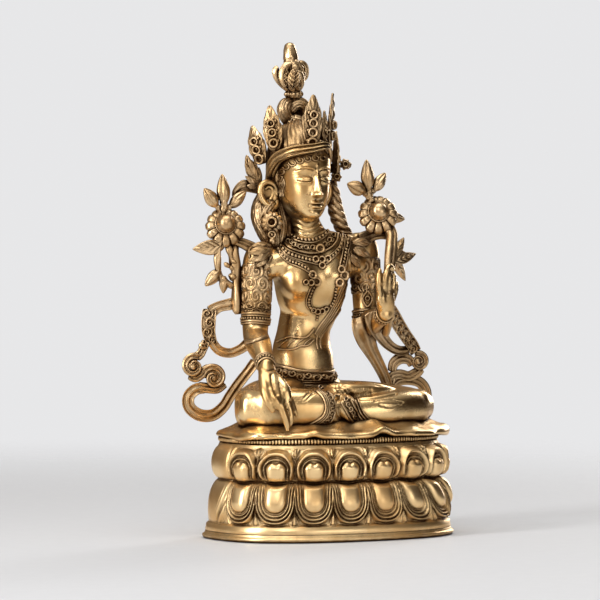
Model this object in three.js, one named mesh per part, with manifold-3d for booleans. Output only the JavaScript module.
// A seated tara figure on a double lotus plinth. Millimetres, Z up, the figure faces -Y.
import * as THREE from "three";
import Module from "manifold-3d";
import { mergeVertices } from "three/addons/utils/BufferGeometryUtils.js";

const wasm = await Module();
wasm.setup();

// Plinth: an oval with a flatter back, every outline an inset of the foot's outline
const footHalfWidth = 83.6;
const footFront = 58;
const footBack = 46;
const frontRoundness = 2.45;
const backRoundness = 3;
const plinthHeight = 65;
const lipHeight = 2.6;
const footHeight = 9.5;
const waistHeight = 38.3;
const collarHeight = 59;
const rimHeight = 61.5;
const lowerRowInset = 3.4;
const upperRowInset = 6.4;
const waistInset = 11;
const rimInset = 10.6;
const rimGroove = 1.6;
const petalsPerRow = 8;
const petalPitch = 24.6;
const petalsMiddle = -3;
const petalRise = 3.6;
const petalSide = 0.43;

// The gap between the two castings, and the level of the seat cloth's underside that every
// height of the figure is drawn from
const castingGap = 0.3;
const seatLevel = 65.3;

// Seat cloth that the figure was cast with
const clothThickness = 4.6;
const clothInset = 8.6;
const clothEdge = [3.2, 0, 2.6];
const clothWave = 1.6;
const clothLift = 0.6;
const clothFolds = 10;
const clothLobe = 5;
const clothLobeAt = 93;
const clothLobeWide = 13;

// Body: joints of the skeleton, then girths across and front to back
const bodyX = -3;
const hips = { z: 88, y: 25, wide: 28, deep: 19 };
const belt = { z: 104, y: 24, wide: 19.2, deep: 15 };
const girdleHigh = 6.5;
const belly = { z: 117, y: 23.5, wide: 19, deep: 15.5 };
const waist = { z: 131, y: 24, wide: 18.3, deep: 14 };
const ribs = { z: 147, y: 21.5, wide: 22.2, deep: 15 };
const chest = { z: 164, y: 20, wide: 26, deep: 15.5 };
const shoulders = { z: 182, y: 20, wide: 37, deep: 12 };
const breastSize = 11;
const breastSpread = 12;
const breastY = 11.5;
const neckGirth = 9.2;
const chokerRise = 1.8;
const chainGirth = 1.7;
const head = { x: -8, y: 21, chin: 203, high: 59, wide: 17, deep: 20 };

const shoulderRight = [-41, 20, 183];
const elbowRight = [-45, 16, 129];
const wristRight = [-57, -20, 111];
const knucklesRight = [-55, -31, 94];
const shoulderLeft = [38.5, 20, 185];
const elbowLeft = [37.5, 14, 134];
const wristLeft = [35, -12, 142];
const knucklesLeft = [34, -16, 163];
const shoulderGirth = 10;
const upperArmGirth = 9.2;
const elbowGirth = 8.2;
const wristGirth = 5.2;
const bandRise = 0.9;

const hipSpread = 20;
const kneeX = 55;
const kneeY = -8;
const legZ = 83.5;
const thighWide = 18;
const thighHigh = 13;
const shinFront = -26;
const shinWide = 13;

// Crown: a slanting diadem and five leaves round the head, with heights above the chin
const diademWide = 2.2;
const leafThickness = 2;
const crownLeaves = [
  { turn: 110, foot: 26, spread: 31, base: 33, tip: 60, wide: 8.5 },
  { turn: 80, foot: 24.5, spread: 27, base: 40, tip: 73.5, wide: 9 },
  { turn: 8, foot: 22, spread: 20.5, base: 47, tip: 80.5, wide: 7.5 },
  { turn: -60, foot: 18, spread: 20, base: 47, tip: 82.5, wide: 7.5 },
  { turn: -97, foot: 24, spread: 26.5, base: 32, tip: 59, wide: 7.5 },
];
const topknot = { x: -7.5, y: 32, rise: 15, size: 10 };
const finialRise = 41.3;

// Lotus sprays and scarves
const flowerRightSide = [-60.5, 27, 200.3];
const flowerLeftSide = [41.5, 7, 208];
const flowerSize = 12;
const petalDroop = 2;
const bossSize = 5.8;
const flowerPetals = 9;
const stemGirth = 2.4;
const scarfY = 29;
const scarfThick = 2.4;
const curlThick = 3.4;

const X = new THREE.Vector3(1, 0, 0);
const Y = new THREE.Vector3(0, 1, 0);
const Z = new THREE.Vector3(0, 0, 1);
const lerp = THREE.MathUtils.lerp;
const smooth = THREE.MathUtils.smoothstep;

// A point along the straight line from a to b
function between(a, b, share) {
  return a.map((v, i) => lerp(v, b[i], share));
}

function shifted(p, dx, dy, dz) {
  return [p[0] + dx, p[1] + dy, p[2] + dz];
}

// A closed three.js geometry as a solid, faces out
function solid(geometry) {
  const bare = new THREE.BufferGeometry();
  bare.setAttribute("position", geometry.getAttribute("position"));
  bare.setIndex(geometry.index);
  const merged = mergeVertices(bare, 1e-3);
  const kept = [];
  const index = merged.index.array;
  for (let i = 0; i < index.length; i += 3) {
    const [a, b, c] = index.slice(i, i + 3);
    if (a !== b && b !== c && a !== c) kept.push(a, b, c);
  }
  const build = (triVerts) =>
    new wasm.Manifold(
      new wasm.Mesh({
        numProp: 3,
        vertProperties: new Float32Array(merged.attributes.position.array),
        triVerts: new Uint32Array(triVerts),
      }),
    );
  const made = build(kept);
  if (made.volume() > 0) return made;
  return build(kept.reverse());
}

function meshOf(name, whole, finish) {
  const { vertProperties, triVerts } = whole.getMesh();
  const geometry = new THREE.BufferGeometry();
  geometry.setAttribute("position", new THREE.BufferAttribute(new Float32Array(vertProperties), 3));
  geometry.setIndex(new THREE.BufferAttribute(new Uint32Array(triVerts), 1));
  geometry.computeVertexNormals();
  const mesh = new THREE.Mesh(geometry, new THREE.MeshStandardMaterial(finish));
  mesh.name = name;
  return mesh;
}

function superCos(angle, power) {
  const c = Math.cos(angle);
  return Math.sign(c) * Math.abs(c) ** (2 / power);
}

function superSin(angle, power) {
  const s = Math.sin(angle);
  return Math.sign(s) * Math.abs(s) ** (2 / power);
}

// A limb: a cylinder whose rings follow a smooth line through the stations.
// Each station is [centre, half width, half depth], with the depth measured along "up".
function limb(stations, { sides = 6, up = Z, power = 2, end = 0.72 } = {}) {
  const last = stations.length - 1;
  const centres = new THREE.CatmullRomCurve3(
    stations.map(([p]) => new THREE.Vector3(...p)),
    false,
    "catmullrom",
  );
  const girths = new THREE.CatmullRomCurve3(
    stations.map(([, wide, deep]) => new THREE.Vector3(wide, deep ?? wide, 0)),
    false,
    "catmullrom",
  );
  const geometry = new THREE.CylinderGeometry(1, 1, 1, sides, last);
  const position = geometry.getAttribute("position");
  const point = new THREE.Vector3();
  for (let i = 0; i < position.count; i++) {
    point.fromBufferAttribute(position, i);
    const t = THREE.MathUtils.clamp(point.y + 0.5, 0, 1);
    const centre = centres.getPoint(t);
    const girth = girths.getPoint(t);
    const ahead = centres.getPoint(Math.min(1, t + 0.01));
    const along = ahead.sub(centres.getPoint(Math.max(0, t - 0.01))).normalize();
    const side = new THREE.Vector3().crossVectors(up, along).normalize();
    const lift = new THREE.Vector3().crossVectors(along, side).normalize();
    const angle = Math.atan2(point.z, point.x);
    const out = Math.hypot(point.x, point.z) > 0.5 ? 1 : 0;
    const atEnd = t < 1e-6 ? -1 : t > 1 - 1e-6 ? 1 : 0;
    const scale = atEnd ? out * end : out;
    const dome = atEnd * (1 - out) * 0.5 * (1 - end) * 2 * Math.min(girth.x, girth.y);
    const moved = centre
      .addScaledVector(side, scale * girth.x * superCos(angle, power))
      .addScaledVector(lift, scale * girth.y * superSin(angle, power))
      .addScaledVector(along, dome);
    position.setXYZ(i, moved.x, moved.y, moved.z);
  }
  return solid(geometry);
}

// A ball stretched to three half sizes
function ball(centre, wide, deep, high, sides = 8) {
  const geometry = new THREE.SphereGeometry(1, sides, Math.max(4, Math.round(sides * 0.5)));
  geometry.rotateX(Math.PI / 2);
  geometry.scale(wide, deep, high);
  geometry.translate(...centre);
  return solid(geometry);
}

// A cord of one girth along a smooth line
function cord(points, girth, sides = 3) {
  const path = new THREE.CatmullRomCurve3(
    points.map((p) => new THREE.Vector3(...p)),
    false,
    "catmullrom",
  );
  const section = new THREE.Shape();
  for (let i = 0; i < sides; i++) {
    const angle = (2 * Math.PI * i) / sides;
    const corner = [girth * Math.cos(angle), girth * Math.sin(angle)];
    if (i === 0) section.moveTo(...corner);
    else section.lineTo(...corner);
  }
  section.closePath();
  const geometry = new THREE.ExtrudeGeometry(section, {
    steps: points.length - 1,
    bevelEnabled: false,
    extrudePath: path,
  });
  return solid(geometry);
}

function joined(solids) {
  return solids.reduce((whole, next) => whole.add(next));
}

// The foot's outline as points with the arc length to each. Arc 0 is the middle of the front,
// and arc length grows towards +X.
const outline = (() => {
  const marks = [];
  const fine = 2400;
  let arc = 0;
  let before = null;
  for (let i = 0; i <= fine; i++) {
    const angle = -Math.PI + (2 * Math.PI * i) / fine;
    const front = Math.cos(angle) > 0;
    const power = front ? frontRoundness : backRoundness;
    const depth = front ? footFront : footBack;
    const p = [footHalfWidth * superSin(angle, power), -depth * superCos(angle, power)];
    if (before) arc += Math.hypot(p[0] - before[0], p[1] - before[1]);
    marks.push({ arc, p });
    before = p;
  }
  const middle = marks[fine / 2].arc;
  return { marks, length: arc, middle };
})();

// The point of the outline at an arc length, moved in from the foot by an inset
function outlineAt(arc, inset) {
  const wanted = THREE.MathUtils.euclideanModulo(arc + outline.middle, outline.length);
  let i = outline.marks.findIndex((m) => m.arc >= wanted);
  i = THREE.MathUtils.clamp(i, 1, outline.marks.length - 1);
  const a = outline.marks[i - 1];
  const b = outline.marks[i];
  const share = (wanted - a.arc) / Math.max(1e-9, b.arc - a.arc);
  const x = lerp(a.p[0], b.p[0], share);
  const y = lerp(a.p[1], b.p[1], share);
  const depth = y < 0 ? footFront : footBack;
  return [x * (1 - inset / footHalfWidth), y * (1 - inset / depth)];
}

// How far the plinth's face stands in from the foot's outline at a height
const profile = [
  [0, 0.8],
  [lipHeight, 0],
  [lipHeight + 1.4, 1.5],
  [footHeight, 2.4],
  [footHeight + 2, lowerRowInset + 0.4],
  [lerp(footHeight, waistHeight, 0.4), lowerRowInset],
  [lerp(footHeight, waistHeight, 0.72), lowerRowInset + 1.5],
  [lerp(footHeight, waistHeight, 0.91), lerp(lowerRowInset, waistInset, 0.7)],
  [waistHeight, waistInset],
  [lerp(waistHeight, collarHeight, 0.16), lerp(waistInset, upperRowInset, 0.62)],
  [lerp(waistHeight, collarHeight, 0.42), upperRowInset],
  [lerp(waistHeight, collarHeight, 0.8), upperRowInset + 1.8],
  [collarHeight, rimInset + rimGroove - 0.6],
  [rimHeight - 0.7, rimInset + rimGroove],
  [rimHeight, rimInset],
  [plinthHeight, rimInset],
];

// The body of the plinth, before its petals. Its back columns are even steps of the outline's
// own angle, which bring them close together round the two corners.
function plinthBody() {
  const left = petalsMiddle - (petalsPerRow * petalPitch) / 2;
  const right = left + petalsPerRow * petalPitch;
  const frontColumns = 2 * petalsPerRow;
  const backColumns = 12;
  const columns = [];
  for (let i = 0; i <= frontColumns; i++) {
    columns.push(lerp(left, right, i / frontColumns));
  }
  const steps = outline.marks.length - 1;
  const markAt = (arc) => outline.marks.findIndex((m) => m.arc - outline.middle >= arc);
  for (let i = 1; i < backColumns; i++) {
    const mark = Math.round(lerp(markAt(right), markAt(left) + steps, i / backColumns));
    const turns = Math.floor(mark / steps);
    columns.push(outline.marks[mark % steps].arc - outline.middle + turns * outline.length);
  }
  const geometry = new THREE.CylinderGeometry(1, 1, 1, columns.length, profile.length - 1);
  const position = geometry.getAttribute("position");
  for (let i = 0; i < position.count; i++) {
    const x = position.getX(i);
    const z = position.getZ(i);
    const row = Math.round((position.getY(i) + 0.5) * (profile.length - 1));
    const [height, inset] = profile[row];
    if (Math.hypot(x, z) < 0.5) {
      position.setXYZ(i, 0, 0, height);
      continue;
    }
    const turn = THREE.MathUtils.euclideanModulo(Math.atan2(x, z), 2 * Math.PI);
    const column = Math.round((turn / (2 * Math.PI)) * columns.length) % columns.length;
    const [px, py] = outlineAt(columns[column], inset);
    position.setXYZ(i, px, py, height);
  }
  return solid(geometry);
}

// One petal's rounded boss, half sunk in the plinth at an arc length and a height
function petal(arc, z, high, inset) {
  const [x, y] = outlineAt(arc, inset);
  const [ax, ay] = outlineAt(arc - 1, inset);
  const [bx, by] = outlineAt(arc + 1, inset);
  const geometry = new THREE.SphereGeometry(1, 7, 4);
  geometry.rotateX(Math.PI / 2);
  geometry.scale(petalSide * petalPitch, petalRise, high);
  geometry.rotateZ(Math.atan2(by - ay, bx - ax));
  geometry.translate(x, y, z);
  return solid(geometry);
}

function plinth() {
  const lowerHigh = waistHeight - footHeight;
  const upperHigh = collarHeight - waistHeight;
  const petals = [];
  for (let i = 0; i < petalsPerRow; i++) {
    const arc = petalsMiddle + (i + 0.5 - petalsPerRow / 2) * petalPitch;
    petals.push(petal(arc, footHeight + 0.52 * lowerHigh, 0.4 * lowerHigh, lowerRowInset + 0.8));
    petals.push(petal(arc, waistHeight + 0.46 * upperHigh, 0.4 * upperHigh, upperRowInset + 0.8));
  }
  return joined([plinthBody(), ...petals]);
}

// The seat cloth: a thin plate with a waved edge, a little over the rim
function seatCloth() {
  const sides = 3 * clothFolds;
  const levels = [0, 0.55, 1].map((share) => seatLevel + share * clothThickness);
  const geometry = new THREE.CylinderGeometry(1, 1, 1, sides, levels.length - 1);
  const position = geometry.getAttribute("position");
  for (let i = 0; i < position.count; i++) {
    const level = Math.round((position.getY(i) + 0.5) * (levels.length - 1));
    const turn = Math.atan2(position.getX(i), position.getZ(i));
    if (Math.hypot(position.getX(i), position.getZ(i)) < 0.5) {
      position.setXYZ(i, 0, 0, levels[level]);
      continue;
    }
    const arc = (turn / (2 * Math.PI)) * outline.length;
    const wave = clothWave * Math.sin(clothFolds * turn);
    const lobe = clothLobe * Math.exp(-(((arc - clothLobeAt) / clothLobeWide) ** 2));
    const inset = clothInset + clothEdge[level] - wave - lobe;
    const [x, y] = outlineAt(arc, inset);
    const lift = level === 1 ? clothLift * Math.cos(clothFolds * turn) : 0;
    position.setXYZ(i, x, y, levels[level] + lift);
  }
  return solid(geometry);
}

function torso() {
  const at = (part, dx = 0) => [[bodyX + dx, part.y, part.z], part.wide, part.deep];
  return [
    limb(
      [
        [[bodyX + 1, hips.y, seatLevel + clothThickness + 3], hips.wide + 6, hips.deep + 2],
        at(hips),
        [[bodyX - 0.5, belt.y, belt.z - girdleHigh], belt.wide + 0.6, belt.deep + 0.6],
        [[bodyX - 0.5, belt.y, belt.z - girdleHigh / 2], belt.wide + 2, belt.deep + 2],
        [[bodyX - 0.5, belt.y, belt.z + girdleHigh / 2], belt.wide + 2, belt.deep + 2],
        [[bodyX - 0.5, belt.y, belt.z + girdleHigh * 0.8], belt.wide, belt.deep],
        at(belly, -1),
        at(waist, -0.8),
        at(ribs, 1.4),
        at(chest, 1.6),
        [[bodyX + 1, shoulders.y, 174], 32, 14.5],
        at(shoulders, 1.5),
        [[bodyX, shoulders.y, 189], 27, 10.5],
        [[bodyX - 1, shoulders.y, 195.5], 11.5, 9.8],
      ],
      { sides: 11, up: new THREE.Vector3(0, -1, 0), power: 2.2 },
    ),
    limb(
      [
        [[bodyX - 1, 20, 190], neckGirth + chokerRise + 1],
        [[bodyX - 2, 20, 196.5], neckGirth + chokerRise],
        [[head.x + 2.5, head.y - 0.5, head.chin - 4], neckGirth],
        [[head.x + 1, head.y, head.chin + 8], neckGirth],
      ],
      { sides: 7, up: X },
    ),
    ball([bodyX - 1.5 - breastSpread, breastY, chest.z - 1], breastSize, breastSize, breastSize),
    ball([bodyX - 1.5 + breastSpread, breastY, chest.z + 4], breastSize, breastSize, breastSize),
  ];
}

// One thigh and shin; side is -1 for the figure's right leg
function leg(side) {
  const knee = [side * kneeX, kneeY, legZ];
  const shinEnd = side < 0 ? [-6, shinFront - 1, legZ - 2] : [6, shinFront + 2, legZ - 3];
  return [
    limb(
      [
        [[side * hipSpread, 23, legZ + 3], thighWide, thighHigh + 2],
        [[side * 38, 8, legZ + 1.5], thighWide, thighHigh + 1],
        [knee, thighWide - 1, thighHigh],
        [shifted(knee, side * 7, -5, -0.5), thighWide - 5, thighHigh - 2.5],
      ],
      { sides: 9, end: 0.8 },
    ),
    limb(
      [
        [shifted(knee, side * 5, 2, 0), shinWide, thighHigh - 1.5],
        [shifted(knee, -side * 10, -9, 0), shinWide + 1, thighHigh],
        [[side * 26, shinFront + 2, legZ - 1], shinWide, thighHigh - 1],
        [shinEnd, shinWide - 2, thighHigh - 2.5],
      ],
      { sides: 9, end: 0.8 },
    ),
  ];
}

// The lap between the thighs, under the foot that is turned up
function lap() {
  return ball([6, 6, legZ + 1], 36, 24, 12);
}

function rightFoot() {
  return limb(
    [
      [[-8, -17, 94], 8, 7],
      [[6, -16, 97], 8, 5.5],
      [[24, -14, 95.5], 7, 4.5],
      [[36, -13.5, 93], 5, 3.2],
      [[43, -13.5, 91.2], 2.4, 2],
    ],
    { sides: 6 },
  );
}

// Upper arm with its armband, elbow, and forearm with its bracelet, between three joints
function arm(shoulder, elbow, wrist) {
  const inward = -Math.sign(shoulder[0]);
  const upper = (share, girth) => [between(shoulder, elbow, share), girth];
  const fore = (share, girth) => [between(elbow, wrist, share), girth];
  return [
    limb(
      [
        [shifted(shoulder, 2.5 * inward, 0, 4.5), shoulderGirth - 4],
        [shifted(shoulder, 0, 0, -1.5), shoulderGirth - 0.3],
        upper(0.35, upperArmGirth),
        upper(0.68, upperArmGirth - 0.3),
        upper(0.72, upperArmGirth + bandRise),
        upper(0.79, upperArmGirth + bandRise),
        upper(0.83, upperArmGirth - 0.4),
        upper(1, elbowGirth),
      ],
      { sides: 8, up: Y },
    ),
    limb(
      [
        fore(0, elbowGirth),
        fore(0.5, lerp(elbowGirth, wristGirth, 0.35)),
        fore(0.86, wristGirth + bandRise),
        fore(0.96, wristGirth + bandRise),
        fore(1, wristGirth),
      ],
      { sides: 7, up: Z, end: 0.85 },
    ),
  ];
}

function finger(root, middle, tip, girth) {
  return limb(
    [
      [root, girth],
      [middle, girth * 0.9],
      [tip, girth * 0.6],
    ],
    { sides: 4, up: Y },
  );
}

// The lowered hand, palm out over the knee
function rightHand() {
  const palm = limb(
    [
      [shifted(wristRight, 0, 1, 1), wristGirth, 4.4],
      [between(wristRight, knucklesRight, 0.5), 7, 4],
      [knucklesRight, 7, 3.4],
    ],
    { sides: 6, up: Y },
  );
  const reaches = [
    [-5.2, [1.5, -3.5, -20.5]],
    [-1.7, [4, -5, -22.7]],
    [1.8, [7, -4.5, -20]],
    [4.8, [10.5, -3, -14]],
  ];
  const fingers = reaches.map(([offset, reach]) => {
    const root = shifted(knucklesRight, offset, 0.5, 1);
    const tip = shifted(knucklesRight, ...reach);
    return finger(root, shifted(between(root, tip, 0.5), 0, -0.8, 0), tip, 2);
  });
  const thumbRoot = shifted(wristRight, -4, -4, -7);
  const thumbTip = shifted(knucklesRight, -6, -1, -11.5);
  const thumb = finger(thumbRoot, shifted(thumbRoot, -2.5, -5, -9), thumbTip, 2.4);
  return [palm, ...fingers, thumb];
}

// The raised hand, one finger hooked over the stems
function leftHand() {
  const palm = limb(
    [
      [shifted(wristLeft, 0, -1, -4), wristGirth, 4.6],
      [between(wristLeft, knucklesLeft, 0.5), 6.6, 4],
      [knucklesLeft, 6, 3.4],
    ],
    { sides: 6, up: Y },
  );
  const reaches = [
    [-4.5, [-2.5, -2, 8.5]],
    [-1.5, [0.5, -4, 10]],
    [1.5, [4, -4, 9]],
    [4.5, [6.5, -1, 5]],
  ];
  const fingers = reaches.map(([offset, reach]) => {
    const root = shifted(knucklesLeft, offset, 0, -1);
    const tip = shifted(knucklesLeft, ...reach);
    return finger(root, shifted(between(root, tip, 0.6), 0, 0.8, 1), tip, 2);
  });
  return [palm, ...fingers];
}

function headPieces() {
  const { x, y, chin, wide, deep } = head;
  const face = limb(
    [
      [[x - 0.8, y - 8, chin + 0.5], 5, 5],
      [[x - 0.5, y - 5, chin + 5], 10.5, 11.5],
      [[x, y - 2, chin + 12], 14.8, 17],
      [[x, y, chin + 21], wide - 0.5, deep],
      [[x, y + 1, chin + 33], wide, deep],
      [[x, y + 2, chin + 46], wide - 1, deep - 1],
      [[x, y + 4, chin + head.high], wide - 7, deep - 7],
    ],
    { sides: 11, up: new THREE.Vector3(0, -1, 0), power: 2.15 },
  );
  const nose = limb(
    [
      [[x, y - deep + 1.5, chin + 29], 1.4, 1.2],
      [[x, y - deep - 0.6, chin + 21], 1.8, 1.8],
      [[x, y - deep - 0.8, chin + 15.5], 2.6, 2],
      [[x, y - deep + 2, chin + 13.8], 2, 1.4],
    ],
    { sides: 5, up: new THREE.Vector3(0, -1, 0) },
  );
  const hair = limb(
    [
      [[x, y + 7, chin + 2], 11, 9],
      [[x, y + 9, chin + 14], 18, 13],
      [[x, y + 8, chin + 30], 20, 16],
      [[x, y + 8, chin + 46], 18.5, 15],
      [[x + 0.3, y + 9, chin + 62], 9.5, 9],
    ],
    { sides: 8, up: Y },
  );
  const diadem = limb(
    [
      [[x - 24, y + 8, chin + 21], 2, 3],
      [[x - 25, y - 5, chin + 32], diademWide, 3],
      [[x - 21, y - 15, chin + 41], diademWide, 3],
      [[x - 10, y - 24, chin + 47.5], diademWide, 3],
      [[x + 2, y - 26.5, chin + 50], diademWide, 3],
      [[x + 9.5, y - 22, chin + 49], diademWide, 3],
      [[x + 15, y - 12, chin + 43], diademWide, 3],
      [[x + 21, y + 6, chin + 27], 2, 3],
    ],
    { sides: 4, up: Z },
  );
  const browPlate = limb(
    [
      [[x - 12, y - 4, chin + 43], 12, 3],
      [[x, y - 10, chin + 46], 15, 3.4],
      [[x + 8, y - 4, chin + 46], 11, 3],
    ],
    { sides: 6, up: Z },
  );
  const leaves = crownLeaves.map(({ turn, foot, spread, base, tip, wide: leafWidth }) => {
    const angle = THREE.MathUtils.degToRad(turn);
    const out = [-Math.sin(angle), -Math.cos(angle)];
    const spot = (reach, z) => [x + out[0] * reach, y + 1 + out[1] * reach, z];
    const reach = (share) => lerp(foot, spread, share);
    const height = (share) => chin + lerp(base, tip, share);
    return limb(
      [
        [spot(foot - 8, chin + base - 8), 4, 4],
        [spot(reach(0.15), height(0.15)), leafWidth * 0.75, leafThickness + 0.4],
        [spot(reach(0.5), height(0.5)), leafWidth * 0.95, leafThickness],
        [spot(reach(1), height(1) - 1), 1.2, 1.2],
      ],
      { sides: 4, up: new THREE.Vector3(out[0], out[1], 0) },
    );
  });
  const ears = [-1, 1].map((side) =>
    limb(
      [
        [[x + side * 18, y + 5, chin + 25], 3, 2.5],
        [[x + side * 20, y + 5, chin + 20], 5, 3.5],
        [[x + side * 19.5, y + 4, chin + 12], 4, 3],
        [[x + side * 19, y + 3, chin + 5], 3, 3],
      ],
      { sides: 4, up: X },
    ),
  );
  const earring = ball([x - 23.5, y + 3, chin], 9.5, 8, 9.5, 7);
  return [face, nose, hair, diadem, browPlate, ...leaves, ...ears, earring];
}

// Side ornaments of the crown and the hair that falls to the shoulders
function sideHair() {
  const { x, chin } = head;
  const fans = [
    ball([x - 31, 32, chin + 35], 6, 4, 8.5, 6),
    ball([x + 33, 29, chin + 34], 5.5, 4, 4, 6),
    ball([x + 28, 29, chin + 28], 4, 4, 4, 6),
  ];
  const ties = [
    limb(
      [
        [[x - 16, 32, chin + 23], 4, 3],
        [[x - 29, 33, chin + 21], 5, 3],
        [[x - 38, 33, chin + 18], 4, 2],
        [[x - 43, 33, chin + 12], 1.6, 1.4],
      ],
      { sides: 4, up: Y },
    ),
    limb(
      [
        [[x + 12, 31, chin + 29], 5, 3],
        [[x + 26, 30, chin + 31], 4, 3],
        [[x + 33, 29, chin + 33], 3, 3],
      ],
      { sides: 4, up: Y },
    ),
  ];
  const tresses = [-1, 1].map((side) =>
    limb(
      [
        [[x + side * 14, 27, chin + 23], 5, 4],
        [[x + side * 21, 28, chin + 11], 5, 4],
        [[x + side * 26, 27, chin - 1], 4.6, 4],
        [[x + (side < 0 ? -30 : 41), 22, shoulders.z + 8], 5, 4.5],
      ],
      { sides: 5, up: Y },
    ),
  );
  return [...fans, ...ties, ...tresses];
}

function topknotPieces() {
  const { x, y, size } = topknot;
  const z = head.chin + head.high + topknot.rise;
  const bulb = limb(
    [
      [[head.x, y - 3, z - 25], size * 0.9],
      [[x, y, z - 12], size * 0.62],
      [[x, y, z - 4], size * 0.92],
      [[x, y, z + 2], size * 0.95],
      [[x, y, z + 6], size * 0.6],
    ],
    { sides: 7, up: X },
  );
  const collar = limb(
    [
      [[x, y, z + 4], 4.8],
      [[x, y, z + 7], 5.6],
      [[x - 0.2, y, z + 10], 4.6],
    ],
    { sides: 6, up: X, end: 0.9 },
  );
  const knob = limb(
    [
      [[x - 0.5, y, z + 9], 4],
      [[x - 0.6, y, z + 14], 7],
      [[x - 0.8, y, z + 20], 8],
      [[x - 1, y, z + 26], 6.5],
      [[x - 1.2, y, z + 29], 4],
    ],
    { sides: 7, up: X },
  );
  const wings = [-1, 1].map((side) =>
    limb(
      [
        [[x - 2 + side * 4, y, z + 13], 2.4, 3],
        [[x - 2.2 + side * 9, y, z + 18], 2.6, 3.4],
        [[x - 2.2 + side * 11, y, z + 23], 2, 3],
        [[x - 2 + side * 9, y, z + 25.5], 1.4, 2],
      ],
      { sides: 4, up: Y },
    ),
  );
  const finial = limb(
    [
      [[x - 1.2, y, z + 27], 4.4],
      [[x - 1.8, y, z + 33], 4.6],
      [[x - 2, y, z + finialRise - 4.5], 3.8],
      [[x - 2.2, y, z + finialRise - 0.6], 2],
    ],
    { sides: 7, up: X },
  );
  return [bulb, collar, knob, ...wings, finial];
}

// A small leaf or bud between two points
function bud(from, to, wide, thick = 2) {
  return limb(
    [
      [from, wide * 0.45, thick * 0.7],
      [between(from, to, 0.45), wide, thick],
      [to, wide * 0.25, thick * 0.4],
    ],
    { sides: 4, up: Y },
  );
}

// A boss on a plate whose edge is notched between the petals
function flower(centre) {
  const sides = 2 * flowerPetals;
  const plate = new THREE.CylinderGeometry(1, 1, 1, sides, 1);
  const position = plate.getAttribute("position");
  for (let i = 0; i < position.count; i++) {
    const turn = Math.atan2(position.getX(i), position.getZ(i));
    const rim = Math.hypot(position.getX(i), position.getZ(i)) > 0.5;
    const behind = position.getY(i) > 0;
    const notch = Math.round((turn / Math.PI) * flowerPetals) % 2 === 0 ? 1 : 0.8;
    const reach = rim ? flowerSize * notch * (behind ? 0.82 : 1) : 0;
    const y = behind ? 4 : rim ? 1 : -1.5;
    position.setXYZ(i, reach * Math.cos(turn), y, reach * Math.sin(turn));
  }
  plate.translate(...shifted(centre, 0, 0, -petalDroop));
  return [solid(plate), ball(shifted(centre, 0, -1, 0), bossSize, bossSize * 0.85, bossSize)];
}

// A cord whose points are steps from its own flower
function stem(flowerAt, steps, girth = stemGirth) {
  return cord(steps.map((step) => shifted(flowerAt, ...step)), girth);
}

function sprayRightSide() {
  const c = flowerRightSide;
  const at = (...step) => shifted(c, ...step);
  return [
    ...flower(c),
    stem(c, [[7, 2, -8], [6, -1, -16.3], [7, -1.5, -35.3], [6.5, -3, -53.3]], stemGirth + 0.3),
    stem(c, [[0, 2, -8], [2.5, 0, -16.3], [6, -1, -28.3]]),
    stem(c, [[-1, 2, -6], [-5.5, 1, -22.3], [-5.5, 1, -34.3], [4.5, -1, -38.3]]),
    bud(at(-1, 2, 6), at(-0.5, 1, 14), 2.2),
    bud(at(-0.5, 1, 14), at(-1.5, 2, 31.7), 3.2),
    bud(at(-2, 2, 9), at(-14, 2, 22.2), 3.4),
    bud(at(1, 2, 9), at(15.5, 2, 20.7), 3),
    bud(at(0.5, 1, -14.3), at(-22, 2, -15.8), 4),
    bud(at(-3.5, 1, -30.3), at(-13.5, 2, -39.3), 3.4),
    bud(at(-0.5, 0, -35.3), at(-1, 1, -43.8), 2.6),
    limb(
      [
        [at(5.5, -2, -11.3), 3, 2.5],
        [at(12.5, -4, -12.3), 3.6, 3],
        [shifted(shoulderRight, 0, 1, 4), 4, 4],
      ],
      { sides: 4, up: Y },
    ),
    limb(
      [
        [at(6.5, -2, -50.3), 3, 2.5],
        [shifted(between(shoulderRight, elbowRight, 0.65), -4.4, 4.6, 0), 4, 3],
      ],
      { sides: 4, up: Y },
    ),
  ];
}

function sprayLeftSide() {
  const c = flowerLeftSide;
  const at = (...step) => shifted(c, ...step);
  const inHand = (...step) => shifted(knucklesLeft, ...step);
  return [
    ...flower(c),
    cord([at(3, 2, -7), at(6.5, -3, -14), at(0, -13, -28), inHand(1, 1, -5)], stemGirth + 0.3),
    cord([at(8, 2, -6), at(10.5, -2, -14), at(4.5, -11, -28), inHand(3, 2, -3)], stemGirth),
    bud(at(-3, 2, 5), at(-6.5, 3, 18), 2.4),
    bud(at(-6.5, 2, 17), at(-7.7, 2, 33.5), 3.2),
    bud(at(-6, 2, 13), at(-21, 2, 17.5), 3.4),
    bud(at(-4, 2, 13), at(6, 2, 24), 3),
    bud(at(6, 2, -2), at(20, 1, -5.4), 2.8),
    bud(at(4.5, -11, -29), at(17, -3, -17.5), 2.8),
    bud(at(3.5, -12, -32), at(25.5, -3, -28), 3),
    bud(at(4.5, -11, -30), at(17.5, -3, -44.5), 3),
    limb(
      [
        [shifted(shoulderLeft, -4.5, -3, 5), 5.5, 3],
        [at(0.5, 7, -17), 4, 3],
        [at(6.5, 1, -17), 3, 3],
      ],
      { sides: 4, up: Y },
    ),
  ];
}

// A flat ribbon in the plane of the back. Each point is [across, up, half width, y], with the
// first two counted from the elbow that the scarf hangs on, and y only where it leaves the plane.
function ribbon(elbow, points, y) {
  const last = points.length - 1;
  const stations = points.map(([across, up, wide, depth], i) => {
    const tuck = i === 0 || i === last ? 0.9 : 1;
    return [[elbow[0] + across, depth ?? y, elbow[2] + up], wide * tuck, scarfThick];
  });
  return limb(stations, { sides: 4, up: Y, end: 0.9 });
}

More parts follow.
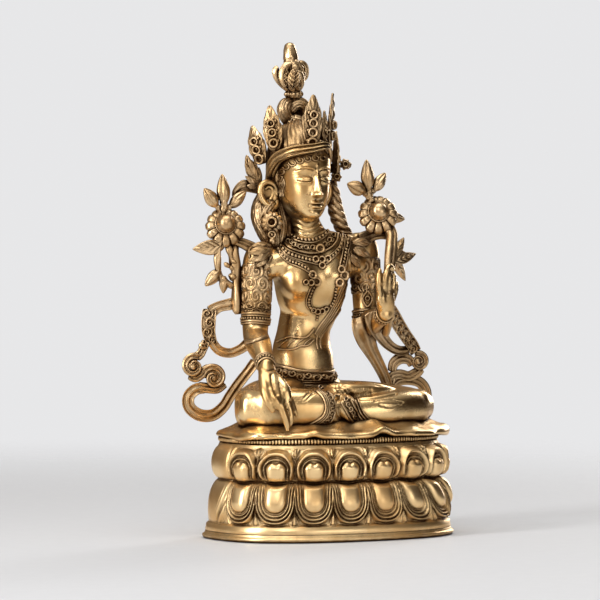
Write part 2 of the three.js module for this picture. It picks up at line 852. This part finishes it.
// The curled end of a scarf, a flat knob as thick as a boss
function curlOf(elbow, y) {
  return (across, up, size) =>
    ball([elbow[0] + across, y, elbow[2] + up], size, curlThick, size * 1.03, 6);
}

function scarfRightSide() {
  const strip = (points) => ribbon(elbowRight, points, scarfY);
  const curl = curlOf(elbowRight, scarfY);
  return [
    strip([
      [1, 11, 4, 22],
      [-8, 14.5, 3.6, 26],
      [-19, 17.5, 3.2],
      [-27.5, 15, 3.4],
      [-30.5, 6, 3.6],
      [-28.5, -4, 3.6],
      [-22, -10.5, 3.2],
      [-12, -12, 3.2, 26],
      [0, -6, 4, 20],
    ]),
    strip([
      [-31, 7, 2.5],
      [-33.5, -3, 3.5],
      [-33.5, -11, 4.2],
      [-37, -20, 6],
    ]),
    curl(-38, -20.5, 7.3),
    curl(-30.5, -24, 5),
    curl(-24, -28, 8),
    strip([
      [-24, -35, 3],
      [-34, -35, 3],
      [-42, -41, 3.2],
      [-40, -49, 3.2],
      [-30, -52, 3.3],
      [-19, -48, 3.4],
      [-10, -37, 3.4],
      [1, -24, 3.6],
      [13, -16, 4, 27],
    ]),
  ];
}

function scarfLeftSide() {
  const y = scarfY - 2;
  const strip = (points) => ribbon(elbowLeft, points, y);
  const curl = curlOf(elbowLeft, y);
  const fall = (across, depth, up, wide, deep) => [
    [elbowLeft[0] + across, depth, elbowLeft[2] + up],
    wide,
    deep,
  ];
  return [
    limb(
      [
        fall(-1.5, 14, -6, 8.5, 7.5),
        fall(1, 19, -12, 6, 5),
        fall(7.5, 24, -22, 3.6, 3),
        fall(17.5, y, -35, 3.4, 2.6),
        fall(24.5, y, -46, 3.6, 3),
      ],
      { sides: 6, up: Y },
    ),
    strip([
      [2.5, 9, 4, -6],
      [9.5, 4, 4, 6],
      [16.5, -6, 3.4, 18],
      [25.5, -16, 3.2, 24],
      [36.5, -21, 3.4, 26],
    ]),
    strip([
      [7.5, 11, 4.5, 0],
      [22.5, 2, 4, 15],
      [33.5, -7, 4, 22],
      [40.5, -16, 4],
      [43.5, -24, 4],
    ]),
    curl(44.5, -25, 6.6),
    strip([
      [23.5, -44, 3],
      [24.5, -32, 3],
      [32.5, -25, 3],
      [42.5, -26, 3],
    ]),
    strip([
      [41.5, -29, 3.2],
      [34.5, -36, 3],
      [25.5, -42, 3],
    ]),
    strip([
      [25.5, -41, 3],
      [36.5, -35, 3],
      [48.5, -38, 3.2],
      [53.5, -45, 3.2],
      [53.5, -51.5, 2.2],
    ]),
  ];
}

// The necklace and the long chain, which show from a step away
function jewellery() {
  const onChest = (across, depth, up) => [bodyX + across, depth, chest.z + up];
  const necklace = cord(
    [
      onChest(-23, 12, 25),
      onChest(-16, 5, 15),
      onChest(-1, 4, 9.5),
      onChest(16, 5, 18),
      onChest(21, 12, 27),
    ],
    chainGirth + 0.2,
  );
  const chain = cord(
    [
      onChest(-13, 0, 1),
      onChest(-8, 4.5, -13),
      onChest(0, 6, -21),
      onChest(8, 3.5, -12),
      onChest(14, 0.5, 5),
    ],
    chainGirth,
  );
  const pendant = ball(onChest(-1, 4, 10), 4.5, 2.4, 5.5, 6);
  return [necklace, chain, pendant];
}

function figure() {
  return joined([
    seatCloth(),
    ...torso(),
    ...leg(-1),
    ...leg(1),
    lap(),
    rightFoot(),
    ...arm(shoulderRight, elbowRight, wristRight),
    ...arm(shoulderLeft, elbowLeft, wristLeft),
    ...rightHand(),
    ...leftHand(),
    ...headPieces(),
    ...sideHair(),
    ...topknotPieces(),
    ...sprayRightSide(),
    ...sprayLeftSide(),
    ...scarfRightSide(),
    ...scarfLeftSide(),
    ...jewellery(),
  ]);
}

const brass = {
  figure: { color: 0x9e6e30, roughness: 0.32, metalness: 1 },
  plinth: { color: 0x996b2e, roughness: 0.34, metalness: 1 },
};
const group = new THREE.Group();
group.add(meshOf("lotus_plinth", plinth(), brass.plinth));
const seated = meshOf("tara_figure", figure(), brass.figure);
seated.position.z = plinthHeight + castingGap - seatLevel;
group.add(seated);

export default group;
